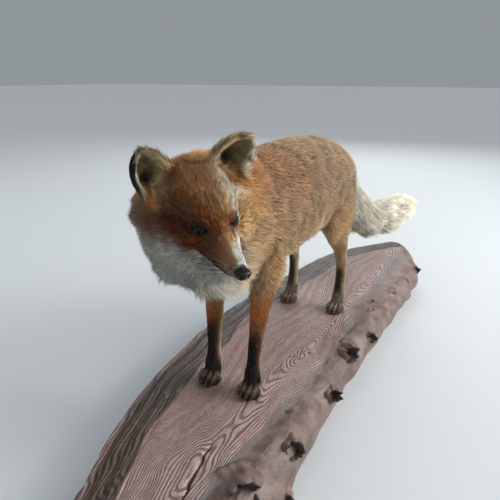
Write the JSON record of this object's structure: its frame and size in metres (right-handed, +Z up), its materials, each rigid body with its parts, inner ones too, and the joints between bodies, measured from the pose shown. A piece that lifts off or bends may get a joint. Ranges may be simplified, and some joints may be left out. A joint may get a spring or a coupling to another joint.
{
  "type": "taxidermy red fox",
  "caption": "Life-size mounted red fox standing on a thick live-edge half-log board, head turned to its left, mouth closed, bushy tail curved down and out.",
  "frame": {"origin": "On the flat underside of the board, on the fox's median plane, midway between its fore and hind feet", "axes": "+X to the fox's left, -Y ahead of the fox and along the board, +Z up"},
  "size_m": [0.3485, 1.422, 0.536],
  "materials": {
    "fur": "red fox winter coat, rusty on the head and legs, grizzled buff on the body, white below, black on the ears and legs",
    "nose": "smooth black nose leather with a slight gloss",
    "eye": "glossy dark brown glass eye",
    "claw": "dull horn",
    "wood": "brushed, weathered grey-brown softwood with raised grain"
  },
  "bodies": {
    "root": {"base_board": "wood", "ear_left": "fur", "ear_right": "fur", "eye_left": "eye", "eye_right": "eye", "fore_claw_left_1": "claw", "fore_claw_left_2": "claw", "fore_claw_left_3": "claw", "fore_claw_left_4": "claw", "fore_claw_right_1": "claw", "fore_claw_right_2": "claw", "fore_claw_right_3": "claw", "fore_claw_right_4": "claw", "fore_leg_left": "fur", "fore_leg_right": "fur", "fore_paw_left": "fur", "fore_paw_right": "fur", "head": "fur", "hind_claw_left_1": "claw", "hind_claw_left_2": "claw", "hind_claw_left_3": "claw", "hind_claw_left_4": "claw", "hind_claw_right_1": "claw", "hind_claw_right_2": "claw", "hind_claw_right_3": "claw", "hind_claw_right_4": "claw", "hind_leg_left": "fur", "hind_leg_right": "fur", "hind_paw_left": "fur", "hind_paw_right": "fur", "lower_jaw": "fur", "neck": "fur", "nose": "nose", "tail_middle": "fur", "tail_root": "fur", "tail_tip": "fur", "trunk": "fur"}
  },
  "joints": []
}
